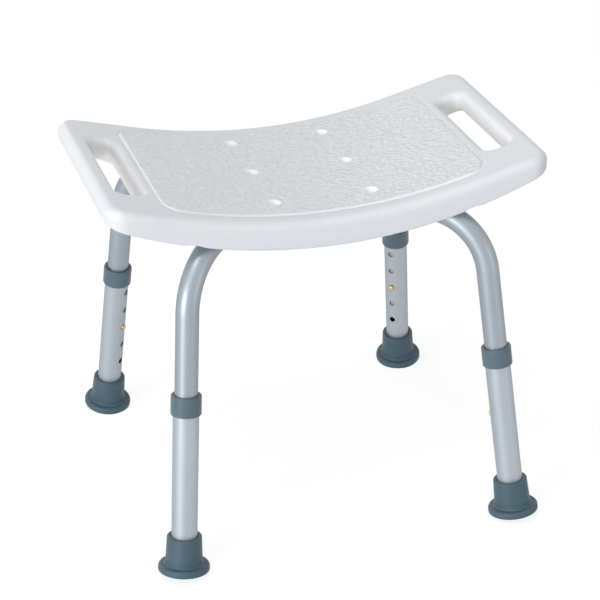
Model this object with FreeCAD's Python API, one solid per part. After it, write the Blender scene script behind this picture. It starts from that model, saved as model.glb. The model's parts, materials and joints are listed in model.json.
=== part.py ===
import FreeCAD, Part
import math
import os

os.makedirs("parts", exist_ok=True)

# Shower bench: a saddle-shaped, hollow blow-moulded seat on two bent aluminium
# tubes that cross under its middle, with four telescoping lower legs, each held
# by a sprung snap button and standing on a flared rubber tip.
# Millimetres, +Z up. The origin is on the floor under the middle of the seat,
# +X runs along the seat and +Y from its front edge to its back edge.

V = FreeCAD.Vector
ORIGIN = V(0, 0, 0)
UP = V(0, 0, 1)
ALONG = V(1, 0, 0)
ACROSS = V(0, 1, 0)

# Seat
seat_length = 496.0
seat_width = 284.0
seat_height = 375.2            # top of the seat at its middle, above the floor
seat_corner_radius = 22.0
seat_top_radius = 640.0        # the hollow of the saddle
seat_end_slope = 14.3          # degrees, where the hollow runs out into flat ends
seat_thickness = 32.5          # at the middle
seat_end_thickness = 21.3      # at the ends, measured upright
seat_wall = 3.0
seat_top_rounding = 9.5
seat_bottom_rounding = 3.0

# Textured panel raised on the seat
panel_slot_gap = 17.0          # from the panel to each grip slot
panel_margin = 22.0            # from the panel to the seat's front and back edges
panel_corner_radius = 23.0
panel_rise = 1.2
panel_edge_rounding = 0.6

# Grip slot at each end of the seat
slot_width = 27.0
slot_length = 158.0
slot_corner_radius = 10.0
slot_bottom_rounding = 6.0
grip_width = 23.5              # from the slot to the seat's end

# Drain funnels
drain_spacing_along = 109.4
drain_margin = 31.5            # from the panel's front and back edges to the nearest drains' middles
drain_mouth_radius = 7.6
drain_bore_radius = 2.5
drain_funnel_depth = 8.0
drain_wall = 2.4

# Crossed frame tubes
frame_tube_radius = 12.7
frame_tube_wall = 1.2
frame_cover = 21.2             # from the seat's top at its middle down to the tubes' axis
frame_bend_radius = 72.0
frame_knee_along = 165.3       # where the run's axis meets the leg's axis
frame_knee_across = 144.3
frame_tube_below_button = 38.0
channel_clearance = 0.3

# Flattened crossing at the middle of the tubes
crossing_spread = 5.1          # how much wider it gets on each side
crossing_flat = 16.0           # flattened this far from the middle
crossing_reach = 42.0          # round again from here on
crossing_gap = 0.3
crossing_pocket_margin = 4.0
crossing_steps = 4             # sections between flat and round

# Legs
leg_splay_along = 30.2         # from the knee out to where the leg's axis meets the floor
leg_splay_across = 51.7
leg_tube_clearance = 0.3       # around the frame tube inside
leg_tube_wall = 1.3
leg_tube_above_holes = 30.5
hole_pitch = 25.4
hole_count = 5
button_hole_number = 2         # the button sits in the third hole from the top, counted from 0
hole_radius = 3.75
holes_above_tip = 29.0         # from the rubber tip to the lowest hole's middle

# Collar on top of each lower leg
collar_wall = 2.5
collar_height = 22.4
collar_lip = 2.5
collar_rounding = 1.4
collar_clearance = 0.3

# Rubber tip and the steel washer in it, with heights from the sole
tip_height = 40.5
tip_top_wall = 5.0
tip_neck_wall = 6.3
tip_lip_rounding = 1.5
tip_floor = 7.5                # rubber under the washer
tip_press = 1.0                # how much of its inner edge the floor presses flat, as the leg leans
flange_width = 7.9             # how far it stands out from the neck
flange_height = 8.0
flange_rounding = 3.4
flange_hollow_radius = 2.6     # between the flange and the neck
flange_sole_rounding = 1.6
tread_margin = 8.5             # from the sole's edge to the outermost groove
tread_groove_depth = 1.0
tread_groove_width = 2.0
tread_groove_pitch = 5.0
tread_groove_count = 3
tip_washer_clearance = 0.6
tip_washer_thickness = 1.5

# Snap button and the bent leaf spring behind it
button_clearance = 0.35        # around the button in its hole
button_proud = 3.0             # top of its dome, above the leg tube
button_dome = 2.0
button_lip = 1.4               # how far its flange stands out around it
button_flange_thickness = 1.1
button_flange_clearance = 0.35
spring_thickness = 0.7
spring_width = 7.0
spring_pad = 9.0               # flat stretch behind the button
spring_rise = 30.0             # from the button up to the bend
spring_bend_radius = 2.6
spring_foot_drop = 8.0         # end of the arm that bears on the far wall, below the button

# Screws through the frame tubes into the seat
screw_distance = 115.0         # from the middle, along the tube
screw_radius = 2.45
screw_head_radius = 4.8
screw_head_height = 2.8
screw_recess_width = 1.1
screw_recess_length = 5.2
screw_recess_depth = 1.5
saddle_radius = 7.0
saddle_thickness = 2.2
insert_radius = 3.6
insert_length = 9.0
boss_wall = 2.6

# Bolt through the crossing
bolt_radius = 2.95
bolt_head_across_corners = 11.5
bolt_head_height = 4.0
bolt_washer_radius = 9.0
bolt_washer_thickness = 1.6
bolt_insert_radius = 4.6
bolt_insert_length = 6.0
bolt_hole_clearance = 0.35
thread_gap = 0.05              # between a screw or bolt and its insert

# Air holes in the underside, left by the blow moulding
vent_radius = 3.0
vent_distance = 100.0          # from the middle, across the seat

fit_gap = 0.1                  # left between pieces that are pressed or drawn together
overrun = 5.0                  # how far a cutting shape passes the face it cuts
touch = 0.01                   # how near a point is to a surface that it lies on

# Derived sizes of the seat
seat_bottom = seat_height - seat_thickness
slope = math.radians(seat_end_slope)
slot_middle = seat_length / 2 - grip_width - slot_width / 2
panel_length = 2 * (slot_middle - slot_width / 2 - panel_slot_gap)
panel_width = seat_width - 2 * panel_margin
drain_spacing_across = panel_width / 2 - drain_margin
seat_outline = (seat_length, seat_width, seat_corner_radius)
slot_outline = (slot_width, slot_length, slot_corner_radius)
panel_outline = (panel_length, panel_width, panel_corner_radius)

# Derived sizes of the frame tubes
frame_run_height = seat_height - frame_cover    # axis of the level run under the seat
frame_bore = frame_tube_radius - frame_tube_wall
frame_turn = math.degrees(math.atan2(frame_knee_across, frame_knee_along))
channel_radius = frame_tube_radius + channel_clearance
channel_top = frame_run_height + channel_radius
crossing_half_height = (frame_tube_radius - crossing_gap) / 2
crossing_half_width = frame_tube_radius + crossing_spread
crossing_offset = crossing_half_height + crossing_gap / 2
crossing_pocket_radius = crossing_reach + crossing_pocket_margin

# Derived sizes of the legs, with heights along the leg from the floor
foot_along = frame_knee_along + leg_splay_along
foot_across = frame_knee_across + leg_splay_across
leg_lean = math.atan2(math.hypot(leg_splay_along, leg_splay_across), frame_run_height)
leg_tube_bore = frame_tube_radius + leg_tube_clearance
leg_tube_radius = leg_tube_bore + leg_tube_wall
tip_socket_radius = leg_tube_radius + fit_gap
tip_top_radius = leg_tube_radius + tip_top_wall
tip_neck_radius = leg_tube_radius + tip_neck_wall
tip_washer_radius = tip_socket_radius - tip_washer_clearance
flange_radius = tip_neck_radius + flange_width
edge_reach = (flange_radius - flange_sole_rounding) * math.sin(leg_lean)
sole_height = (flange_sole_rounding + edge_reach - tip_press) / math.cos(leg_lean) - flange_sole_rounding
leg_tube_start = sole_height + tip_floor + tip_washer_thickness
lowest_hole_height = sole_height + tip_height + holes_above_tip
button_height = lowest_hole_height + (hole_count - 1 - button_hole_number) * hole_pitch
leg_tube_end = button_height + button_hole_number * hole_pitch + leg_tube_above_holes
frame_tube_end = button_height - frame_tube_below_button
collar_radius = leg_tube_radius + collar_wall
collar_end = leg_tube_end + collar_lip
collar_start = collar_end - collar_height
button_radius = hole_radius - button_clearance
button_reach = leg_tube_radius + button_proud    # from the leg's axis
button_flange_radius = button_radius + button_lip
button_flange_top = math.sqrt(frame_bore ** 2 - button_flange_radius ** 2) - button_flange_clearance
button_flange_base = button_flange_top - button_flange_thickness

overall_top = seat_height + seat_length    # above everything
rounding_share = 1 - math.sqrt(0.5)        # of its radius, how far a rounding's middle is from each side

CORNERS = {"front_left": (-1, -1), "front_right": (1, -1), "back_left": (-1, 1), "back_right": (1, 1)}


def save(name, *shapes):
    """Write one node, as one solid or a group of separate solids."""
    solids = [solid for shape in shapes for solid in shape.Solids]
    node = solids[0] if len(solids) == 1 else Part.makeCompound(solids)
    node.exportStep(os.path.join("parts", name + ".step"))


def line(start, end):
    return Part.LineSegment(start, end).toShape()


def arc(start, middle, end):
    return Part.Arc(start, middle, end).toShape()


def quarter(x, z, radius, side_x, side_z):
    """Rounding of the corner (x, z) of an outline, as three points from its upright to its level side."""
    near = radius * rounding_share
    middle = V(x + side_x * near, 0, z + side_z * near)
    return V(x, 0, z + side_z * radius), middle, V(x + side_x * radius, 0, z)


def revolved(stretches):
    """Solid of revolution about Z. The outline is points and arcs of three points, joined by lines."""
    edges = []
    for this, following in zip(stretches, stretches[1:] + stretches[:1]):
        start = this if isinstance(this, V) else this[-1]
        end = following if isinstance(following, V) else following[0]
        if not isinstance(this, V):
            edges.append(arc(*this))
        if start.distanceToPoint(end) > touch:
            edges.append(line(start, end))
    return Part.Face(Part.Wire(edges)).revolve(ORIGIN, UP, 360)


def ring(outer, inner, start, end):
    """Round tube along Z."""
    outside = Part.makeCylinder(outer, end - start, V(0, 0, start))
    inside = Part.makeCylinder(inner, end - start + 2 * overrun, V(0, 0, start - overrun))
    return outside.cut(inside)


def rounded_prism(outline, inset=0, middle=0):
    """Upright prism on a rounded rectangle drawn in by inset, centred at x = middle."""
    length, width, corner = outline
    x, y = length / 2 - inset, width / 2 - inset
    box = Part.makeBox(2 * x, 2 * y, overall_top, V(middle - x, -y, 0))
    upright = [edge for edge in box.Edges if abs(edge.tangentAt(edge.FirstParameter).z) > 1 - touch]
    return box.makeFillet(corner - inset, upright)


def outline_distance(point, outline, inset, middle):
    """How far a point is outside a rounded rectangle drawn in by inset, seen from above."""
    length, width, corner = outline
    x = abs(abs(point.x) - middle) - (length / 2 - corner)
    y = abs(point.y) - (width / 2 - corner)
    return math.hypot(max(x, 0), max(y, 0)) + min(max(x, y), 0) - corner + inset


# Seat

def top_height(x, lift):
    """Height at x of a surface that far above the seat's top."""
    radius = seat_top_radius - lift
    turn = radius * math.sin(slope)
    centre = seat_height + seat_top_radius
    if abs(x) < turn:
        return centre - math.sqrt(radius ** 2 - x ** 2)
    return centre - radius * math.cos(slope) + (abs(x) - turn) * math.tan(slope)


def bottom_height(x, lift):
    """Height at x of a surface that far above the seat's underside, which is an arc."""
    half = seat_length / 2
    rise = top_height(half, 0) - seat_end_thickness - seat_bottom
    radius = (half ** 2 + rise ** 2) / (2 * rise)
    return seat_bottom + radius - math.sqrt((radius - lift) ** 2 - x ** 2)


def top_edges(reach, lift):
    """The top's outline in the XZ plane, from x = -reach to x = reach."""
    turn = (seat_top_radius - lift) * math.sin(slope)
    points = [V(x, 0, top_height(x, lift)) for x in (-reach, -turn, 0, turn, reach)]
    return [line(points[0], points[1]), arc(points[1], points[2], points[3]), line(points[3], points[4])]


def curved_slab(upper, lower):
    """Slab between two outlines in the XZ plane that run alike from left to right."""
    first, last = upper[0].Vertexes[0].Point, upper[-1].Vertexes[-1].Point
    ends = [line(lower[0].Vertexes[0].Point, first), line(last, lower[-1].Vertexes[-1].Point)]
    side = Part.Face(Part.Wire(Part.__sortEdges__(upper + lower + ends)))
    side.translate(V(0, -seat_width, 0))
    return side.extrude(V(0, 2 * seat_width, 0))


def rim_edges(solid, height_at, lift, outline, inset=0, middle=0):
    """Edges where the surface height_at meets the upright walls of an outline."""
    found = []
    for edge in solid.Edges:
        point = edge.valueAt((edge.FirstParameter + edge.LastParameter) / 2)
        on_surface = abs(point.z - height_at(point.x, lift)) < touch
        if on_surface and abs(outline_distance(point, outline, inset, middle)) < touch:
            found.append(edge)
    return found


def seat_block(inset):
    """Seat with its grip slots and rounded edges, drawn in by inset from every surface."""
    reach = seat_length / 2 + overrun
    left, middle, right = [V(x, 0, bottom_height(x, inset)) for x in (-reach, 0, reach)]
    block = curved_slab(top_edges(reach, -inset), [arc(left, middle, right)])
    block = block.common(rounded_prism(seat_outline, inset))
    rounding = seat_top_rounding - inset
    block = block.makeFillet(rounding, rim_edges(block, top_height, -inset, seat_outline, inset))
    for side in (-1, 1):
        block = block.cut(rounded_prism(slot_outline, -inset, side * slot_middle))
    block = block.makeFillet(rounding,
                             rim_edges(block, top_height, -inset, slot_outline, -inset, slot_middle))
    block = block.makeFillet(slot_bottom_rounding - inset,
                             rim_edges(block, bottom_height, inset, slot_outline, -inset, slot_middle))
    if inset == 0:
        block = block.makeFillet(seat_bottom_rounding, rim_edges(block, bottom_height, 0, seat_outline))
    return block


def raised_panel():
    """The panel's plate, sunk half a wall deep into the seat's top."""
    reach = seat_length / 2
    plate = curved_slab(top_edges(reach, panel_rise), top_edges(reach, -seat_wall / 2))
    plate = plate.common(rounded_prism(panel_outline))
    return plate.makeFillet(panel_edge_rounding, rim_edges(plate, top_height, panel_rise, panel_outline))


def drain_places():
    for side in (-1, 1):
        for row in (-1, 0, 1):
            yield side * drain_spacing_along / 2, row * drain_spacing_across


def drain(x, y, wall):
    """Funnel and bore of one drain, made wider by wall."""
    mouth = top_height(x, panel_rise)
    throat = mouth - drain_funnel_depth
    wide = drain_mouth_radius + wall
    narrow = drain_bore_radius + wall
    funnel = Part.makeCone(narrow, wide, drain_funnel_depth, V(x, y, throat))
    above = Part.makeCylinder(wide, overrun, V(x, y, mouth))
    bore = Part.makeCylinder(narrow, throat - seat_bottom + overrun, V(x, y, seat_bottom - overrun))
    return funnel.fuse([above, bore])


def channels(wall):
    """Grooves for the tubes and the pocket for their crossing, made wider by wall."""
    radius = channel_radius + wall
    reach = seat_length
    low = frame_run_height - seat_thickness
    groove = Part.makeCylinder(radius, 2 * reach, V(-reach, 0, frame_run_height), ALONG)
    mouth = Part.makeBox(2 * reach, 2 * radius, seat_thickness, V(-reach, -radius, low))
    turned = [shape.rotated(ORIGIN, UP, side * frame_turn) for side in (-1, 1) for shape in (groove, mouth)]
    pocket = Part.makeCylinder(crossing_pocket_radius + wall, channel_top + wall - low, V(0, 0, low))
    return turned + [pocket]


def run_direction(sign_x, sign_y):
    return V(sign_x * frame_knee_along, sign_y * frame_knee_across, 0).normalize()


def screw_places():
    return [run_direction(*signs) * screw_distance for signs in CORNERS.values()]


def make_seat():
    bosses = [Part.makeCylinder(insert_radius + boss_wall, overall_top, place) for place in screw_places()]
    bosses.append(Part.makeCylinder(bolt_insert_radius + boss_wall, overall_top))
    drain_walls = [drain(x, y, drain_wall) for x, y in drain_places()]
    void = seat_block(seat_wall).cut(channels(seat_wall) + bosses + drain_walls)

    cuts = channels(0) + [drain(x, y, 0) for x, y in drain_places()]
    for side in (-1, 1):
        foot = V(0, side * vent_distance, seat_bottom - overrun)
        cuts.append(Part.makeCylinder(vent_radius, 2 * overrun + seat_wall, foot))
    for place in screw_places():
        cuts.append(Part.makeCylinder(insert_radius + fit_gap, insert_length + channel_radius + fit_gap,
                                      place + UP * frame_run_height))
    cuts.append(Part.makeCylinder(bolt_insert_radius + fit_gap, bolt_insert_length + channel_radius + fit_gap,
                                  UP * frame_run_height))
    seat = seat_block(0).fuse(raised_panel()).removeSplitter()
    save("seat_shell", seat.cut([void] + cuts))


# Frame tubes

def foot_point(sign_x, sign_y):
    return V(sign_x * foot_along, sign_y * foot_across, 0)


def knee_point(sign_x, sign_y):
    return V(sign_x * frame_knee_along, sign_y * frame_knee_across, frame_run_height)


def leg_axis(signs):
    return (knee_point(*signs) - foot_point(*signs)).normalize()


def at_leg(shape, signs):
    """Move a shape from a leg's own frame, Z up the leg and X towards the middle, to its corner."""
    foot = foot_point(*signs)
    axis = leg_axis(signs)
    inward = (axis * foot.dot(axis) - foot).normalize()
    side = axis.cross(inward)
    place = FreeCAD.Placement(FreeCAD.Matrix(inward.x, side.x, axis.x, foot.x,
                                             inward.y, side.y, axis.y, foot.y,
                                             inward.z, side.z, axis.z, foot.z,
                                             0, 0, 0, 1))
    placed = shape.copy()
    placed.Placement = place.multiply(placed.Placement)
    return placed


def half_tube(signs, radius, end):
    """Run, bend and leg of one end of a frame tube, down to end along the leg."""
    foot, knee = foot_point(*signs), knee_point(*signs)
    run = run_direction(*signs)
    down = leg_axis(signs) * -1
    turn = run.getAngle(down)
    tangent = frame_bend_radius * math.tan(turn / 2)
    start = knee - run * tangent
    stop = knee + down * tangent
    normal = run.cross(down).normalize()
    centre = start + normal.cross(run) * frame_bend_radius
    inner = UP * frame_run_height + run * crossing_reach
    level = Part.makeCylinder(radius, (start - inner).Length, inner, run)
    disc = Part.Face(Part.Wire(Part.makeCircle(radius, start, run)))
    bend = disc.revolve(centre, normal, math.degrees(turn))
    leg = Part.makeCylinder(radius, (foot - stop).Length - end, stop, down)
    return [level, bend, leg]


def crossing_section(run, place, share, level, thinner):
    """Closed outline of a tube at that place along its run, flattened by share."""
    side = UP.cross(run)
    wide = frame_tube_radius + (crossing_half_width - frame_tube_radius) * share - thinner
    high = frame_tube_radius + (crossing_half_height - frame_tube_radius) * share - thinner
    centre = UP * (frame_run_height + level * crossing_offset * share) + run * place
    shape = FreeCAD.Matrix(side.x * wide, 0, run.x, centre.x,
                           side.y * wide, 0, run.y, centre.y,
                           0, high, 0, centre.z,
                           0, 0, 0, 1)
    return Part.Wire(Part.makeCircle(1).transformGeometry(shape))


def crossing(signs, level, thinner):
    """Flattened middle of a frame tube, pressed up (level 1) or down (level -1)."""
    run = run_direction(*signs)
    places = []
    for step in range(crossing_steps + 1):
        share = step / crossing_steps
        place = crossing_reach + (crossing_flat - crossing_reach) * share
        places.append((place, (1 - math.cos(math.pi * share)) / 2))
    places = [(-place, share) for place, share in places] + [(0, 1)] + places[::-1]
    sections = [crossing_section(run, place, share, level, thinner) for place, share in places]
    return Part.makeLoft(sections, True, False)


def make_frame_tube(name, signs, level):
    ends = (signs, (-signs[0], -signs[1]))
    tube = crossing(signs, level, 0).cut(crossing(signs, level, frame_tube_wall))
    for end in ends:
        outside = half_tube(end, frame_tube_radius, frame_tube_end)
        inside = half_tube(end, frame_bore, frame_tube_end - overrun)
        tube = tube.fuse([solid.cut(core) for solid, core in zip(outside, inside)])
    below = UP * (frame_run_height - 2 * frame_tube_radius)
    through = 4 * frame_tube_radius
    holes = [Part.makeCylinder(bolt_radius + bolt_hole_clearance, through, below)]
    for end in ends:
        place = run_direction(*end) * screw_distance
        holes.append(Part.makeCylinder(screw_radius + bolt_hole_clearance, through, place + below))
        button_hole = Part.makeCylinder(hole_radius, 2 * frame_tube_radius, UP * button_height, ALONG)
        holes.append(at_leg(button_hole, end))
    save(name, tube.removeSplitter().cut(holes))


# Lower legs, in a leg's own frame

def leg_tube():
    tube = ring(leg_tube_radius, leg_tube_bore, leg_tube_start, leg_tube_end)
    for number in range(hole_count):
        height = button_height + (button_hole_number - number) * hole_pitch
        tube = tube.cut(Part.makeCylinder(hole_radius, 2 * leg_tube_radius, UP * height, ALONG))
    return tube


def collar():
    """Plastic collar: a sleeve on the leg tube with a lip over the tube's end."""
    bore = frame_tube_radius + collar_clearance
    sleeve = leg_tube_radius + fit_gap
    step = leg_tube_end + fit_gap
    return revolved([V(sleeve, 0, collar_start),
                     quarter(collar_radius, collar_start, collar_rounding, -1, 1)[::-1],
                     quarter(collar_radius, collar_end, collar_rounding, -1, -1),
                     quarter(bore, collar_end, collar_rounding, 1, -1)[::-1],
                     V(bore, 0, step),
                     V(sleeve, 0, step)])


def rubber_tip():
    """Flared tip in line with its leg: a flange with tread grooves, and a tapered sleeve."""
    bore = tip_socket_radius
    tip = revolved([V(0, 0, 0),
                    quarter(flange_radius, 0, flange_sole_rounding, -1, 1)[::-1],
                    quarter(flange_radius, flange_height, flange_rounding, -1, -1),
                    quarter(tip_neck_radius, flange_height, flange_hollow_radius, 1, 1)[::-1],
                    quarter(tip_top_radius, tip_height, tip_lip_rounding, -1, -1),
                    quarter(bore, tip_height, tip_lip_rounding, 1, -1)[::-1],
                    V(bore, 0, tip_floor),
                    V(0, 0, tip_floor)])
    for number in range(tread_groove_count):
        outer = flange_radius - tread_margin - number * tread_groove_pitch
        tip = tip.cut(ring(outer, outer - tread_groove_width, 0, tread_groove_depth))
    return tip.translated(UP * sole_height)


def above_floor(shape):
    """What is left of a shape above the floor."""
    middle = shape.BoundBox.Center
    half = shape.BoundBox.DiagonalLength
    floor = Part.makeBox(2 * half, 2 * half, half, V(middle.x - half, middle.y - half, -half))
    return shape.cut(floor)


def tip_washer():
    return Part.makeCylinder(tip_washer_radius, tip_washer_thickness, UP * (sole_height + tip_floor))


def snap_button():
    """Domed button on a flange that stays inside the frame tube."""
    shoulder = button_reach - button_dome
    sphere = (button_radius ** 2 + button_dome ** 2) / (2 * button_dome)
    rise = sphere - math.sqrt(sphere ** 2 - (button_radius / 2) ** 2)
    button = revolved([V(0, 0, button_flange_base),
                       V(button_flange_radius, 0, button_flange_base),
                       V(button_flange_radius, 0, button_flange_top),
                       V(button_radius, 0, button_flange_top),
                       (V(button_radius, 0, shoulder), V(button_radius / 2, 0, button_reach - rise),
                        V(0, 0, button_reach))])
    button.rotate(ORIGIN, ACROSS, 90)
    button.translate(UP * button_height)
    return button


def leaf_section(place, direction):
    """Cross-section of the leaf spring at a place on its middle line."""
    thick = direction.cross(ACROSS).normalize() * (spring_thickness / 2)
    wide = ACROSS * (spring_width / 2)
    corners = [place + thick + wide, place - thick + wide, place - thick - wide, place + thick - wide]
    return Part.Face(Part.makePolygon(corners + corners[:1]))


def bend_tangent(point, centre, side):
    """Where the line from point touches the spring's bend, on the side that is asked for."""
    gap = point - centre
    angle = math.atan2(gap.z, gap.x) + side * math.acos(spring_bend_radius / gap.Length)
    return centre + V(math.cos(angle), 0, math.sin(angle)) * spring_bend_radius


def button_spring():
    """Leaf bent to a V: one arm behind the button, the other on the tube's far wall."""
    half = spring_thickness / 2
    centre = UP * (button_height + spring_rise)
    wall = math.sqrt(frame_bore ** 2 - (spring_width / 2) ** 2)
    pad_low = V(button_flange_base - half, 0, button_height - spring_pad / 2)
    pad_top = V(button_flange_base - half, 0, button_height + spring_pad / 2)
    foot = V(half + fit_gap - wall, 0, button_height - spring_foot_drop)
    near = bend_tangent(pad_top, centre, 1)
    far = bend_tangent(foot, centre, -1)
    pieces = [leaf_section(start, end - start).extrude(end - start)
              for start, end in ((pad_low, pad_top), (pad_top, near), (far, foot))]
    angle = (near - centre).getAngle(far - centre)
    pieces.append(leaf_section(near, near - pad_top).revolve(centre, ACROSS * -1, math.degrees(angle)))
    fold = Part.makeCylinder(half, spring_width, pad_top - ACROSS * (spring_width / 2), ACROSS)
    return fold.fuse(pieces).removeSplitter()


# Fasteners

def screw(place):
    """Pan head screw with a cross recess, pointing up to the end of its insert."""
    head_top = frame_run_height - frame_tube_radius - saddle_thickness
    head_low = head_top - screw_head_height
    head = Part.makeCylinder(screw_head_radius, screw_head_height, place + UP * head_low)
    length = channel_top + insert_length - head_top
    shank = Part.makeCylinder(screw_radius, length, place + UP * head_top)
    slot = Part.makeBox(screw_recess_length, screw_recess_width, screw_recess_depth,
                        place + V(-screw_recess_length / 2, -screw_recess_width / 2, head_low))
    cross = slot.rotated(place, UP, 90)
    return head.fuse(shank).removeSplitter().cut([slot, cross])


def saddle_washer(place):
    """Round washer hollowed to sit on the underside of the tube."""
    start = frame_run_height - frame_tube_radius - saddle_thickness
    top = frame_run_height - math.sqrt(frame_tube_radius ** 2 - saddle_radius ** 2)
    run = V(place.x, place.y, 0).normalize()
    disc = Part.makeCylinder(saddle_radius, top - start, place + UP * start)
    tube = Part.makeCylinder(frame_tube_radius + fit_gap, 4 * saddle_radius,
                             place + UP * frame_run_height - run * (2 * saddle_radius), run)
    hole = Part.makeCylinder(screw_radius + bolt_hole_clearance, 2 * frame_tube_radius, place + UP * start)
    return disc.cut([tube, hole])


def screw_insert(place):
    end = channel_top + insert_length
    return ring(insert_radius, screw_radius + thread_gap, channel_top, end).translated(place)


def make_centre_bolt():
    underside = frame_run_height - crossing_offset - crossing_half_height
    head_top = underside - bolt_washer_thickness - fit_gap
    washer = Part.makeCylinder(bolt_washer_radius, bolt_washer_thickness, UP * head_top)
    corner = V(bolt_head_across_corners / 2, 0, head_top - bolt_head_height)
    turn = FreeCAD.Rotation(UP, 60)
    corners = [corner]
    for side in range(6):
        corners.append(turn.multVec(corners[-1]))
    head = Part.Face(Part.makePolygon(corners)).extrude(UP * bolt_head_height)
    end = channel_top + bolt_insert_length
    shank = Part.makeCylinder(bolt_radius, end - head_top, UP * head_top)
    insert = ring(bolt_insert_radius, bolt_radius + thread_gap, channel_top, end)
    save("centre_bolt", head.fuse(shank).removeSplitter())
    save("centre_washer", washer.cut(Part.makeCylinder(bolt_radius + bolt_hole_clearance, overall_top)))
    save("centre_insert", insert)


def main():
    make_seat()
    make_frame_tube("frame_tube_upper", CORNERS["front_left"], 1)
    make_frame_tube("frame_tube_lower", CORNERS["front_right"], -1)
    pieces = {"leg_tube": leg_tube(), "leg_collar": collar(), "tip_washer": tip_washer(),
              "snap_button": snap_button(), "button_spring": button_spring()}
    for corner, signs in CORNERS.items():
        for name, shape in pieces.items():
            save(name + "_" + corner, at_leg(shape, signs))
        save("rubber_tip_" + corner, above_floor(at_leg(rubber_tip(), signs)))
    save("seat_screws", *[screw(place) for place in screw_places()])
    save("saddle_washers", *[saddle_washer(place) for place in screw_places()])
    save("screw_inserts", *[screw_insert(place) for place in screw_places()])
    make_centre_bolt()


main()
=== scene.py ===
import json
import math

import bmesh
import bpy
from mathutils import Matrix, Vector, geometry


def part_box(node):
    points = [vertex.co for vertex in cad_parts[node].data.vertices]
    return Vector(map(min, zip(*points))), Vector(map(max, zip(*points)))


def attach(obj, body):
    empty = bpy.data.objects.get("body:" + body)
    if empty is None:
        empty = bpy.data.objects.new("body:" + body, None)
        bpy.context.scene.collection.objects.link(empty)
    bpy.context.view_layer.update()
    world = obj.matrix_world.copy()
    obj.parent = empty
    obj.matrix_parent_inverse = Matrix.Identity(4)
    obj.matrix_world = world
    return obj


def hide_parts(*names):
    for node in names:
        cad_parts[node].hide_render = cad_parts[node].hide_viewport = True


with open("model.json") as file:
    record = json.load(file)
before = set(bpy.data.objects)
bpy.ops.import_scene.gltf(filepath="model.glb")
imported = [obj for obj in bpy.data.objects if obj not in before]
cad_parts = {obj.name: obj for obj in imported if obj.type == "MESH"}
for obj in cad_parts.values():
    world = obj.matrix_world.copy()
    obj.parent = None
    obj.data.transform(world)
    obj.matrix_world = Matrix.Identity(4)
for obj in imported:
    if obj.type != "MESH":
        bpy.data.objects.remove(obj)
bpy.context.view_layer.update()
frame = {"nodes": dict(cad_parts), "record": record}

# Shower bench. Metres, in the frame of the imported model: +X along the seat, +Y from its
# front edge to its back edge, +Z up, origin on the floor under the middle of the seat.

# Camera
camera_place = Vector((-0.6079, -1.9844, 1.2557))
camera_azimuth = math.radians(17.06)
camera_elevation = math.radians(26.74)
camera_roll = math.radians(0.53)
camera_lens = 120.0            # mm, on a frame 36 mm wide

# Seat
seat_low, seat_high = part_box("seat_shell")
seat_length = seat_high.x - seat_low.x
seat_width = seat_high.y - seat_low.y
seat_corner = 0.022
seat_middle_height = 0.3752
seat_top_radius = 0.640
seat_end_slope = math.radians(14.3)
seat_thickness = 0.0325
seat_end_thickness = 0.0213
TOP_ROUNDINGS = (0.0095, 0.0095)       # at the seat's outer wall, and at its slots
BOTTOM_ROUNDINGS = (0.003, 0.006)      # the same, on its underside

# Panel raised on the seat
panel_length = 0.361
panel_width = 0.240
panel_corner = 0.023
panel_rise = 0.0012
border_width = 0.0030          # of the fine groove round the panel
border_depth = 0.0011
border_highlight = 0.55       # how far its colour goes towards the bright one of the drains: a painted highlight on the border

# Grip slots
slot_width = 0.027
slot_length = 0.158
slot_corner = 0.010
slot_middle = 0.211
slot_shade_start = 0.002        # depth from which the slot's walls get a painted shade, a warmer and deeper colour
slot_shade_reach = 0.012        # further depth over which they do

# Drains
drain_along = 0.1094 / 2
drain_across = 0.0885
drain_mouth = 0.0076
drain_bore = 0.0025
drain_depth = 0.008
drain_lip = 0.0011
drain_highlight_share = 1.13      # of the mouth's radius: smooth up to here, and painted brighter there, a painted highlight
panel_start_share = 1.2        # pebbled from here

# Grooves in the underside for the frame tubes
run_height = 0.354
knee_along = 0.1653
knee_across = 0.1443
groove_radius = 0.013
pocket_radius = 0.046
groove_wall = 0.0004           # how far a groove's side leans, seen from below
vent_radius = 0.003
vent_distance = 0.100
vent_depth = 0.006

# Mesh density
outline_step = 0.0035
grid_step = 0.0070
rounding_steps = 9
bore_points = 24
pocket_points = 96
sharp_angle = math.radians(38)         # faces that meet at a steeper angle keep a hard edge
touch = 1e-6                           # points closer together than this are one point
PANEL_RINGS = (-2.6, -1.9, -1.1, -0.6, -0.25, 0.25, 0.75, 1.3)     # into the panel, in panel rises
DRAIN_RINGS = (0.0, 0.25, 0.5, 0.75, 0.88, 1.0, 1.12, 1.3)         # from bore to mouth
GROOVE_LINES = (-1, -0.97, -0.8, -0.5, 0, 0.5, 0.8, 0.97, 1)       # across a groove, in its radii

# Stage
floor_reach = 12.0
floor_colour = (0.8, 0.8, 0.8, 1)              # as light meets it
floor_seen_colour = (0.28, 0.28, 0.28, 1)      # as the camera sees it, together with the glow
floor_glow = 0.84
world_colour = (0.97, 0.98, 1.0, 1)
world_strength = 0.43
COOL = (0.97, 0.985, 1.0)
LAMPS = {                      # place, aim, size, watts, colour
    "key": ((-4.4, -3.0, 1.15), (0, 0, 0.25), (1.6, 2.8), 162.0, (0.985, 0.99, 1.0)),
    "top": ((-0.7, -0.5, 2.6), (0, 0, 0.4), (0.9, 0.9), 15.5, (1.0, 0.995, 0.99)),
    "fill": ((1.8, -1.9, 0.6), (0, 0, 0.25), (0.4, 1.2), 4.5, COOL),
    "rim": ((-0.4, 2.6, 0.6), (0, 0, 0.2), (0.5, 1.2), 6.0, COOL),
}


# Curves of the seat

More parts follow.
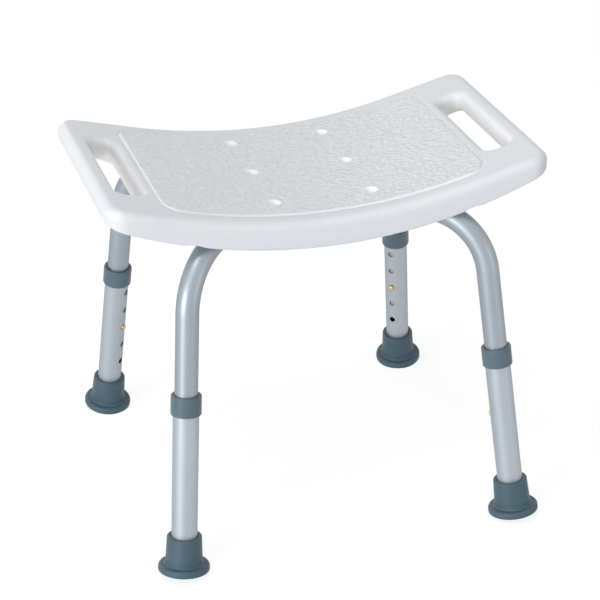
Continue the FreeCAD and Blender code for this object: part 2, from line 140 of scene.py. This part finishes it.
def top_height(x, lift=0.0):
    """Height at x of a surface that far above the seat's top."""
    radius = seat_top_radius - lift
    turn = radius * math.sin(seat_end_slope)
    centre = seat_middle_height + seat_top_radius
    if abs(x) < turn:
        return centre - math.sqrt(radius ** 2 - x ** 2)
    return centre - radius * math.cos(seat_end_slope) + (abs(x) - turn) * math.tan(seat_end_slope)


def top_slope(x):
    """Slope angle of the seat's top at x, rising towards +X where it is positive."""
    turn = seat_top_radius * math.sin(seat_end_slope)
    return math.copysign(math.asin(min(abs(x), turn) / seat_top_radius), x)


def bottom_height(x, lift=0.0):
    """Height at x of a surface that far above the seat's underside."""
    low = seat_middle_height - seat_thickness
    return low + UNDERSIDE_RADIUS - math.sqrt((UNDERSIDE_RADIUS - lift) ** 2 - x ** 2)


def bottom_slope(x):
    return math.asin(x / UNDERSIDE_RADIUS)


def underside_radius():
    """Radius of the underside's arc, from how thick the seat is at its middle and its ends."""
    half = seat_length / 2
    rise = top_height(half) - seat_end_thickness - (seat_middle_height - seat_thickness)
    return (half ** 2 + rise ** 2) / (2 * rise)


def outline(length, width, corner, step, middle=0.0):
    """Points and outward normals round a rounded rectangle centred at x = middle."""
    x, y = length / 2 - corner, width / 2 - corner
    made = []
    sides = ((x, -y, 0), (x, y, 1), (-x, y, 2), (-x, -y, 3))
    for corner_x, corner_y, quarter in sides:
        steps = max(6, round(corner * math.pi / 2 / step))
        for number in range(steps + 1):
            angle = math.pi / 2 * (quarter - 1 + number / steps)
            normal = Vector((math.cos(angle), math.sin(angle)))
            made.append((Vector((middle + corner_x, corner_y)) + normal * corner, normal))
        run = 2 * (y if quarter % 2 == 0 else x)
        steps = max(1, round(run / step))
        start, normal = made[-1]
        along = Vector((-normal.y, normal.x))
        for number in range(1, steps):
            made.append((start + along * (run * number / steps), normal))
    return made


def edge_distance(point, length, width, corner, middle=0.0):
    """How far a point is outside a rounded rectangle, and the direction away from it."""
    side = math.copysign(1.0, point.x - middle)
    up = math.copysign(1.0, point.y)
    x = abs(point.x - middle) - (length / 2 - corner)
    y = abs(point.y) - (width / 2 - corner)
    if x > 0 and y > 0:
        reach = math.hypot(x, y)
        return reach - corner, Vector((side * x / reach, up * y / reach))
    if x > y:
        return x - corner, Vector((side, 0))
    return y - corner, Vector((0, up))


def nearest_wall(point):
    """Distance into the seat from its nearest upright wall, the direction there, and whether it is a slot's."""
    outer, outward = edge_distance(point, seat_length, seat_width, seat_corner)
    best, towards, of_slot = -outer, outward, 0
    for side in (-1, 1):
        inner, away = edge_distance(point, slot_width, slot_length, slot_corner, side * slot_middle)
        if inner < best:
            best, towards, of_slot = inner, -away, 1
    return (best if best > 3 * touch else 0.0), towards, of_slot


def rolled(point, surface, slope, radii, side):
    """Height of a surface rounded off at the walls by a rolling ball; side is 1 above and -1 below."""
    distance, towards, of_slot = nearest_wall(point)
    radius = radii[of_slot]
    offset = radius - distance
    angle = slope(point.x)
    if offset <= -side * radius * math.sin(angle) * towards.x:
        return surface(point.x)
    centre_x = point.x - towards.x * offset
    across = math.sqrt(max(radius ** 2 - offset ** 2, 0.0))
    lean = math.atan(math.tan(slope(centre_x)) * towards.y)
    return surface(centre_x, -side * radius) + side * across / math.cos(lean)


def eased(share):
    share = min(max(share, 0.0), 1.0)
    return share * share * (3 - 2 * share)


def seat_top(point):
    """Height of the seat's upper surface, with its roundings, panel and drains."""
    height = rolled(point, top_height, top_slope, TOP_ROUNDINGS, 1)
    inside = -edge_distance(point, panel_length, panel_width, panel_corner)[0]
    height += panel_rise * eased((inside + panel_rise / 4) / panel_rise)
    height -= border_depth * max(1 - abs(inside + border_width / 2) / (border_width / 2), 0.0)
    for place in DRAINS:
        reach = (point - place).length
        if reach < 2 * drain_mouth:
            mouth = top_height(place.x, panel_rise)
            cone = mouth - drain_depth * (drain_mouth - reach) / (drain_mouth - drain_bore)
            blend = max(drain_lip - abs(height - cone), 0.0) / drain_lip
            height = min(height, cone) - blend ** 2 * drain_lip / 4
    return height


def seat_bottom(point):
    """Height of the seat's underside, with its rounding, the tube grooves and the pocket between them."""
    height = rolled(point, bottom_height, bottom_slope, BOTTOM_ROUNDINGS, -1)
    for run in RUNS:
        reach = abs(run.x * point.y - run.y * point.x)
        if reach < groove_radius:
            height = max(height, run_height + math.sqrt(groove_radius ** 2 - reach ** 2))
    if point.length < pocket_radius:
        height = max(height, run_height + groove_radius)
    if abs(point.x) < vent_radius and abs(abs(point.y) - vent_distance) < vent_radius:
        if (point - Vector((0, math.copysign(vent_distance, point.y)))).length < vent_radius - touch:
            height += vent_depth
    return height


UNDERSIDE_RADIUS = underside_radius()
DRAINS = [Vector((side * drain_along, row * drain_across)) for side in (-1, 1) for row in (-1, 0, 1)]
RUNS = [Vector((knee_along, side * knee_across)).normalized() for side in (-1, 1)]
OUTER = outline(seat_length, seat_width, seat_corner, outline_step)
SLOTS = [outline(slot_width, slot_length, slot_corner, outline_step / 1.5, side * slot_middle) for side in (-1, 1)]


# Seat mesh

def circle(centre, radius, count):
    turns = [2 * math.pi * number / count for number in range(count)]
    return [centre + Vector((math.cos(turn), math.sin(turn))) * radius for turn in turns]


def rounding_distances(radius, beyond):
    """Distances from a wall at which the rounding there gets a ring of points."""
    last = -math.asin(beyond)
    angles = [math.pi / 2 + (last - math.pi / 2) * step / rounding_steps for step in range(rounding_steps + 1)]
    return [radius * (1 - math.sin(angle)) for angle in angles]


def wall_rings(radii, beyond):
    """Closed rings of plan points beside the seat's outer wall and its slots."""
    rings = []
    for distance in rounding_distances(radii[0], beyond):
        rings.append([point - normal * distance for point, normal in OUTER])
    for slot in SLOTS:
        for distance in rounding_distances(radii[1], 0.0):
            rings.append([point + normal * distance for point, normal in slot])
    return rings


def clear_of_walls(point, radii, share):
    """Whether a point is that many rounding radii away from the nearest wall."""
    distance, towards, of_slot = nearest_wall(point)
    return distance > share * radii[of_slot]


def plan_grid(clear):
    """Grid points of the seat's plan that pass the test clear."""
    points = []
    columns = math.ceil(seat_length / grid_step)
    rows = math.ceil(seat_width / grid_step)
    for column in range(columns + 1):
        for row in range(rows + 1):
            point = Vector(((column / columns - 0.5) * seat_length, (row / rows - 0.5) * seat_width))
            if clear(point):
                points.append(point)
    return points


def triangulated(rings, lines, points):
    """Triangles over plan points, which keep to the closed rings and open lines, as (points, triangles)."""
    coords, edges = [], []
    for ring in rings:
        start = len(coords)
        coords += ring
        edges += [(start + number, start + (number + 1) % len(ring)) for number in range(len(ring))]
    for line in lines:
        start = len(coords)
        coords += line
        edges += [(start + number, start + number + 1) for number in range(len(line) - 1)]
    coords += points
    made = geometry.delaunay_2d_cdt(coords, edges, [], 0, touch)
    return made[0], made[2]


def add_sheet(mesh, plan, height, flip):
    """Add the triangles of a plan to the mesh, lifted to the height of the surface."""
    coords, faces = plan
    verts = [mesh.verts.new((point.x, point.y, height(point))) for point in coords]
    for face in faces:
        if not covers_hole([coords[index] for index in face]):
            mesh.faces.new([verts[index] for index in (reversed(face) if flip else face)])


def add_wall(mesh, ring, low, high, rows, flip):
    """Add an upright wall round a ring, from the heights low to the heights high."""
    made = []
    for row in range(rows + 1):
        share = row / rows
        made.append([mesh.verts.new((p.x, p.y, low(p) + (high(p) - low(p)) * share)) for p in ring])
    for lower, upper in zip(made, made[1:]):
        for number in range(len(ring)):
            following = (number + 1) % len(ring)
            corners = [lower[number], lower[following], upper[following], upper[number]]
            mesh.faces.new(reversed(corners) if flip else corners)


def covers_hole(corners):
    """Whether a triangle covers a slot or a drain bore: only then are all its corners on that hole's edge."""
    for side in (-1, 1):
        middle = side * slot_middle
        if all(edge_distance(p, slot_width, slot_length, slot_corner, middle)[0] < 3 * touch for p in corners):
            return True
    return any(all((p - place).length < drain_bore + 3 * touch for p in corners) for place in DRAINS)


def top_plan():
    """Triangles over the plan of the seat's upper surface."""
    rings = wall_rings(TOP_ROUNDINGS, math.sin(seat_end_slope))
    panel = outline(panel_length, panel_width, panel_corner, outline_step)
    for share in PANEL_RINGS:
        rings.append([point - normal * (share * panel_rise) for point, normal in panel])
    for place in DRAINS:
        for share in DRAIN_RINGS:
            reach = drain_bore + (drain_mouth - drain_bore) * share
            rings.append(circle(place, reach, bore_points))

    def clear(point):
        panel_reach = abs(edge_distance(point, panel_length, panel_width, panel_corner)[0])
        drain_reach = min((point - place).length for place in DRAINS)
        apart = panel_reach > grid_step / 2 and drain_reach > 1.5 * drain_mouth
        return apart and clear_of_walls(point, TOP_ROUNDINGS, 1.35)

    return triangulated(rings, [], plan_grid(clear))


def bottom_plan():
    """Triangles over the plan of the seat's underside."""
    rings = wall_rings(BOTTOM_ROUNDINGS, 0.0)
    rings += [circle(place, drain_bore, bore_points) for place in DRAINS]
    rings += [circle(Vector((0, 0)), pocket_radius + shift, pocket_points) for shift in (-groove_wall, 0.0)]
    for side in (-1, 1):
        rings += [circle(Vector((0, side * vent_distance)), vent_radius - shift, bore_points)
                  for shift in (groove_wall, 0.0)]
    lines = []
    count = round(seat_length / outline_step)
    for run in RUNS:
        across = Vector((-run.y, run.x))
        for reach_share in GROOVE_LINES:
            for half in (-1, 1):
                line = [run * (half * seat_length * number / count) + across * (groove_radius * reach_share)
                        for number in range(count)]
                line = [p for p in line if p.length > pocket_radius and nearest_wall(p)[0] > groove_wall
                        and edge_distance(p, seat_length, seat_width, seat_corner)[0] < 0]
                lines.append(line)

    def clear(point):
        groove_reach = min(abs(run.x * point.y - run.y * point.x) for run in RUNS)
        in_groove = groove_reach < groove_radius + grid_step / 3 and point.length > pocket_radius - grid_step
        return clear_of_walls(point, BOTTOM_ROUNDINGS, 1.5) and not in_groove

    return triangulated(rings, lines, plan_grid(clear))


def finish_mesh(mesh, name):
    """Turn a bmesh into a smooth-shaded object with hard edges where faces meet at a steep angle."""
    bmesh.ops.remove_doubles(mesh, verts=mesh.verts, dist=touch)
    bmesh.ops.dissolve_degenerate(mesh, dist=touch, edges=mesh.edges)
    bmesh.ops.recalc_face_normals(mesh, faces=mesh.faces)
    for face in mesh.faces:
        face.smooth = True
    for edge in mesh.edges:
        steep = len(edge.link_faces) == 2 and edge.calc_face_angle(0.0) > sharp_angle
        edge.smooth = not steep
    data = bpy.data.meshes.new(name)
    mesh.to_mesh(data)
    mesh.free()
    piece = bpy.data.objects.new(name, data)
    bpy.context.scene.collection.objects.link(piece)
    return piece


def make_seat():
    """The seat's outer skin: smooth roundings, raised panel, drains, slots and underside."""
    mesh = bmesh.new()
    add_sheet(mesh, top_plan(), seat_top, False)
    add_sheet(mesh, bottom_plan(), seat_bottom, True)
    add_wall(mesh, [point for point, normal in OUTER], seat_bottom, seat_top, 3, False)
    for slot in SLOTS:
        add_wall(mesh, [point for point, normal in slot], seat_bottom, seat_top, 3, True)
    for place in DRAINS:
        add_wall(mesh, circle(place, drain_bore, bore_points), seat_bottom, seat_top, 2, True)
    return finish_mesh(mesh, "seat_skin")


# Materials

def nodes_of(name):
    """A new material with one principled shader, as (material, node tree, shader)."""
    material = bpy.data.materials.new(name)
    material.use_nodes = True
    tree = material.node_tree
    tree.nodes.clear()
    output = tree.nodes.new("ShaderNodeOutputMaterial")
    shader = tree.nodes.new("ShaderNodeBsdfPrincipled")
    tree.links.new(shader.outputs["BSDF"], output.inputs["Surface"])
    return material, tree, shader


def coordinates(tree, stretch=(1, 1, 1)):
    """Object coordinates, scaled along each axis."""
    place = tree.nodes.new("ShaderNodeTexCoord")
    mapping = tree.nodes.new("ShaderNodeMapping")
    mapping.inputs["Scale"].default_value = stretch
    tree.links.new(place.outputs["Object"], mapping.inputs["Vector"])
    return mapping.outputs["Vector"]


def noise(tree, vector, scale, detail=2.0, rough=0.5, distortion=0.0):
    node = tree.nodes.new("ShaderNodeTexNoise")
    node.inputs["Scale"].default_value = scale
    node.inputs["Detail"].default_value = detail
    node.inputs["Roughness"].default_value = rough
    node.inputs["Distortion"].default_value = distortion
    tree.links.new(vector, node.inputs["Vector"])
    return node.outputs["Fac"]


def ramp(tree, value, low, high, low_out=0.0, high_out=1.0):
    """Map a value linearly from low..high to low_out..high_out, clamped."""
    node = tree.nodes.new("ShaderNodeMapRange")
    for key, number in zip(("From Min", "From Max", "To Min", "To Max"), (low, high, low_out, high_out)):
        node.inputs[key].default_value = number
    tree.links.new(value, node.inputs["Value"])
    return node.outputs["Result"]


def mixed(tree, share, first, second):
    """Mix two colours by a share."""
    node = tree.nodes.new("ShaderNodeMix")
    node.data_type = "RGBA"
    node.inputs["A"].default_value = (*first, 1)
    node.inputs["B"].default_value = (*second, 1)
    tree.links.new(share, node.inputs["Factor"])
    return node.outputs["Result"]


def blended(tree, share, first, second):
    """Mix two linked colours by a share."""
    node = tree.nodes.new("ShaderNodeMix")
    node.data_type = "RGBA"
    for key, value in (("Factor", share), ("A", first), ("B", second)):
        tree.links.new(value, node.inputs[key])
    return node.outputs["Result"]


def warped(tree, vector, scale, reach):
    """Coordinates pushed about by noise, so that a pattern on them has no even cells."""
    wave = tree.nodes.new("ShaderNodeTexNoise")
    wave.inputs["Scale"].default_value = scale
    tree.links.new(vector, wave.inputs["Vector"])
    pushed = tree.nodes.new("ShaderNodeVectorMath")
    pushed.operation = "MULTIPLY_ADD"
    pushed.inputs[1].default_value = (reach, reach, reach)
    tree.links.new(wave.outputs["Color"], pushed.inputs[0])
    tree.links.new(vector, pushed.inputs[2])
    return pushed.outputs["Vector"]


def attribute(tree, name):
    node = tree.nodes.new("ShaderNodeAttribute")
    node.attribute_name = name
    return node.outputs["Fac"]


def bump(tree, shader, height, distance, strength=1.0):
    node = tree.nodes.new("ShaderNodeBump")
    node.inputs["Distance"].default_value = distance
    node.inputs["Strength"].default_value = strength
    tree.links.new(height, node.inputs["Height"])
    tree.links.new(node.outputs["Normal"], shader.inputs["Normal"])


def math_node(tree, operation, first, second):
    node = tree.nodes.new("ShaderNodeMath")
    node.operation = operation
    for socket, value in zip(node.inputs, (first, second)):
        if isinstance(value, (int, float)):
            socket.default_value = value
        else:
            tree.links.new(value, socket)
    return node.outputs["Value"]


def clouded(tree, shader, cloud, dark, light, grain, rough_low, rough_high):
    """Give the shader a colour that varies with a cloud and a roughness that varies with a grain."""
    tint = mixed(tree, ramp(tree, cloud, 0.3, 0.7), dark, light)
    tree.links.new(tint, shader.inputs["Base Color"])
    tree.links.new(ramp(tree, grain, 0.3, 0.7, rough_low, rough_high), shader.inputs["Roughness"])


def seat_plastic():
    """White blow-moulded plastic, smooth on the rim and pebbled on the panel, with painted shade in the panel's pits
    and, warmer, inside the slots, and a painted highlight on the drains and the panel's border.
    """
    material, tree, shader = nodes_of("seat_plastic")
    vector = coordinates(tree)
    panel = attribute(tree, "panel")
    cells = tree.nodes.new("ShaderNodeTexVoronoi")
    cells.feature = "SMOOTH_F1"
    cells.inputs["Scale"].default_value = 200.0
    cells.inputs["Smoothness"].default_value = 0.45
    tree.links.new(warped(tree, coordinates(tree, (0.8, 1.15, 1.0)), 120.0, 0.006), cells.inputs["Vector"])
    wrinkle = noise(tree, vector, 165.0, 2.0, 0.5, 0.9)
    pebble = math_node(tree, "SUBTRACT", wrinkle, math_node(tree, "MULTIPLY", cells.outputs["Distance"], 0.9))
    fine = noise(tree, vector, 900.0, 2.0)
    grain = math_node(tree, "MULTIPLY", pebble, panel)
    skin = math_node(tree, "MULTIPLY", fine, 0.03)
    bump(tree, shader, math_node(tree, "ADD", grain, skin), 0.0016, 0.87)
    cloud = noise(tree, vector, 14.0, 3.0)
    rim = mixed(tree, ramp(tree, cloud, 0.35, 0.65), (0.79, 0.82, 0.85), (0.82, 0.84, 0.86))
    # painted shade: the panel's colour is darker down in the pebble's pits, as their shade, on top of the bump
    painted_pit_shade = mixed(tree, ramp(tree, pebble, -0.15, 0.3), (0.795, 0.807, 0.825), (0.873, 0.88, 0.894))
    # painted shade: the slots' walls turn a warmer, deeper colour with depth, standing in for the shade inside the
    # slots
    painted_slot_shade = mixed(tree, cloud, (0.84, 0.825, 0.79), (0.86, 0.85, 0.82))
    # painted highlight: the drains and the panel's border take this brighter colour, standing in for their lit walls
    painted_highlight = mixed(tree, cloud, (0.97, 0.975, 0.98), (0.98, 0.985, 0.99))
    top = blended(tree, panel, rim, painted_pit_shade)
    walls = blended(tree, attribute(tree, "slot"), top, painted_slot_shade)
    tree.links.new(blended(tree, attribute(tree, "smooth"), walls, painted_highlight), shader.inputs["Base Color"])
    tree.links.new(ramp(tree, fine, 0.3, 0.7, 0.34, 0.44), shader.inputs["Roughness"])
    shader.inputs["IOR"].default_value = 1.5
    return material


def aluminium(name, dark, light, rough_low, rough_high):
    """Satin anodised aluminium with faint drawing lines along the tubes."""
    material, tree, shader = nodes_of(name)
    streak = noise(tree, coordinates(tree, (1.0, 1.0, 0.02)), 900.0, 3.0)
    cloud = noise(tree, coordinates(tree, (1.0, 1.0, 0.3)), 30.0, 2.0)
    clouded(tree, shader, cloud, dark, light, streak, rough_low, rough_high)
    shader.inputs["Metallic"].default_value = 0.8
    shader.inputs["Specular Tint"].default_value = (0.62, 0.64, 0.68, 1)
    bump(tree, shader, streak, 0.00001, 0.5)
    return material


def moulded(name, dark, light, rough_low, rough_high, grain_scale, grain_height):
    """Plain moulded plastic or rubber with a fine skin and slight colour variation."""
    material, tree, shader = nodes_of(name)
    vector = coordinates(tree)
    cloud = noise(tree, vector, 60.0, 3.0)
    fine = noise(tree, vector, grain_scale, 2.0)
    clouded(tree, shader, cloud, dark, light, fine, rough_low, rough_high)
    bump(tree, shader, fine, grain_height, 0.5)
    return material


def metal(name, dark, light, rough_low, rough_high):
    """Bare metal with fine turning marks."""
    material, tree, shader = nodes_of(name)
    vector = coordinates(tree)
    marks = noise(tree, vector, 1500.0, 2.0)
    cloud = noise(tree, vector, 150.0, 2.0)
    clouded(tree, shader, cloud, dark, light, marks, rough_low, rough_high)
    shader.inputs["Metallic"].default_value = 1.0
    bump(tree, shader, marks, 0.00002, 0.3)
    return material


MATERIALS = {
    "seat_plastic": seat_plastic(),
    "frame_aluminium": aluminium("frame_aluminium", (0.345, 0.39, 0.43), (0.365, 0.41, 0.45), 0.43, 0.49),
    "collar_plastic": moulded("collar_plastic", (0.085, 0.135, 0.165), (0.10, 0.155, 0.19), 0.36, 0.46,
                              1400.0, 0.00006),
    "tip_rubber": moulded("tip_rubber", (0.048, 0.098, 0.125), (0.060, 0.115, 0.146), 0.46, 0.58,
                          900.0, 0.0001),
    "button_brass": metal("button_brass", (0.60, 0.40, 0.16), (0.72, 0.50, 0.22), 0.2, 0.35),
    "insert_brass": metal("insert_brass", (0.58, 0.42, 0.18), (0.66, 0.48, 0.22), 0.3, 0.45),
    "fastener_steel": metal("fastener_steel", (0.52, 0.53, 0.55), (0.6, 0.61, 0.62), 0.25, 0.4),
    "spring_steel": metal("spring_steel", (0.40, 0.41, 0.43), (0.46, 0.47, 0.48), 0.3, 0.45),
}
LEG_ALUMINIUM = aluminium("leg_aluminium", (0.43, 0.47, 0.505), (0.45, 0.49, 0.525), 0.49, 0.55)


def paint_masks(piece):
    """Mark the points of the pebbled panel, of its smooth drains and border, which get a painted highlight, and of
    the grip slots' walls, which get a painted shade.
    """
    panel, smooth, slot = [piece.data.attributes.new(name, "FLOAT", "POINT") for name in ("panel", "smooth", "slot")]
    for vert in piece.data.vertices:
        point = Vector(vert.co[:2])
        inside = -edge_distance(point, panel_length, panel_width, panel_corner)[0]
        on_top = vert.co.z > top_height(point.x) - panel_rise
        drain_share = min((point - place).length for place in DRAINS) / drain_mouth
        on_panel = on_top and inside > panel_rise and drain_share > panel_start_share
        panel.data[vert.index].value = 1.0 if on_panel else 0.0
        # painted highlight mask ("smooth"): the drains in full, the panel's border in part
        on_border = on_top and abs(inside + border_width / 4) < border_width / 2
        at_drain = drain_share < drain_highlight_share
        smooth.data[vert.index].value = 1.0 if at_drain else border_highlight if on_border else 0.0
        # painted shade mask ("slot"): the slots' walls, growing with depth below the top
        middle = math.copysign(slot_middle, point.x)
        at_slot = edge_distance(point, slot_width, slot_length, slot_corner, middle)[0] < TOP_ROUNDINGS[1]
        depth = top_height(point.x) - vert.co.z
        slot.data[vert.index].value = eased((depth - slot_shade_start) / slot_shade_reach) if at_slot else 0.0


def dress(piece, slot, material=None):
    piece.data.materials.clear()
    piece.data.materials.append(material or MATERIALS[slot])


# Pieces

seat = make_seat()
paint_masks(seat)
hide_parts("seat_shell")
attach(seat, "bench_frame")
dress(seat, "seat_plastic")

for entry in frame["record"]["subparts"]:
    node = frame["nodes"][entry["node"]]
    if not node.hide_render:
        dress(node, entry["material_slot"], LEG_ALUMINIUM if entry["node"].startswith("leg_tube") else None)


# Stage

def make_floor():
    """Pale floor that shows white where it is lit, and keeps the bench's shadow."""
    data = bpy.data.meshes.new("floor")
    corners = [(x * floor_reach, y * floor_reach, 0) for x, y in ((-1, -1), (1, -1), (1, 1), (-1, 1))]
    data.from_pydata(corners, [], [(0, 1, 2, 3)])
    floor = bpy.data.objects.new("floor", data)
    bpy.context.scene.collection.objects.link(floor)
    material = bpy.data.materials.new("floor")
    material.use_nodes = True
    tree = material.node_tree
    tree.nodes.clear()
    output = tree.nodes.new("ShaderNodeOutputMaterial")
    plain = tree.nodes.new("ShaderNodeBsdfDiffuse")
    plain.inputs["Color"].default_value = floor_colour
    seen = tree.nodes.new("ShaderNodeBsdfDiffuse")
    seen.inputs["Color"].default_value = floor_seen_colour
    glow = tree.nodes.new("ShaderNodeEmission")
    glow.inputs["Strength"].default_value = floor_glow
    both = tree.nodes.new("ShaderNodeAddShader")
    tree.links.new(seen.outputs[0], both.inputs[0])
    tree.links.new(glow.outputs[0], both.inputs[1])
    choice = tree.nodes.new("ShaderNodeMixShader")
    tree.links.new(seeing_ray(tree), choice.inputs[0])
    tree.links.new(plain.outputs[0], choice.inputs[1])
    tree.links.new(both.outputs[0], choice.inputs[2])
    tree.links.new(choice.outputs[0], output.inputs["Surface"])
    data.materials.append(material)


def seeing_ray(tree):
    """1 for rays that show the background: camera, glossy and transmission rays."""
    path = tree.nodes.new("ShaderNodeLightPath")
    both = math_node(tree, "MAXIMUM", path.outputs["Is Camera Ray"], path.outputs["Is Glossy Ray"])
    return math_node(tree, "MAXIMUM", both, path.outputs["Is Transmission Ray"])


def make_world():
    """Even light all round, which shows as white."""
    world = bpy.data.worlds.new("studio")
    world.use_nodes = True
    tree = world.node_tree
    tree.nodes.clear()
    output = tree.nodes.new("ShaderNodeOutputWorld")
    light = tree.nodes.new("ShaderNodeBackground")
    light.inputs["Color"].default_value = world_colour
    light.inputs["Strength"].default_value = world_strength
    white = tree.nodes.new("ShaderNodeBackground")
    white.inputs["Color"].default_value = (1, 1, 1, 1)
    white.inputs["Strength"].default_value = 1.0
    choice = tree.nodes.new("ShaderNodeMixShader")
    tree.links.new(seeing_ray(tree), choice.inputs[0])
    tree.links.new(light.outputs[0], choice.inputs[1])
    tree.links.new(white.outputs[0], choice.inputs[2])
    tree.links.new(choice.outputs[0], output.inputs["Surface"])
    bpy.context.scene.world = world


def add_lamp(name, place, aim, size, power, colour):
    data = bpy.data.lights.new(name, "AREA")
    data.shape = "RECTANGLE"
    data.size, data.size_y = size
    data.energy = power
    data.color = colour
    lamp = bpy.data.objects.new(name, data)
    lamp.location = place
    lamp.rotation_euler = (Vector(aim) - Vector(place)).to_track_quat("-Z", "Y").to_euler()
    bpy.context.scene.collection.objects.link(lamp)


def make_camera():
    """Camera at the photo's place, turned by its azimuth, elevation and roll."""
    forward = Vector((math.sin(camera_azimuth) * math.cos(camera_elevation),
                      math.cos(camera_azimuth) * math.cos(camera_elevation), -math.sin(camera_elevation)))
    level = forward.cross(Vector((0, 0, 1))).normalized()
    turn = Matrix.Rotation(camera_roll, 3, forward)
    right = turn @ level
    up = right.cross(forward)
    data = bpy.data.cameras.new("camera")
    data.lens = camera_lens
    camera = bpy.data.objects.new("camera", data)
    turned = Matrix((right, up, -forward)).transposed().to_4x4()
    camera.matrix_world = Matrix.Translation(camera_place) @ turned
    bpy.context.scene.collection.objects.link(camera)
    bpy.context.scene.camera = camera


make_floor()
make_world()
for lamp_name, lamp_values in LAMPS.items():
    add_lamp(lamp_name, *lamp_values)
make_camera()
bpy.context.scene.view_settings.view_transform = "Standard"
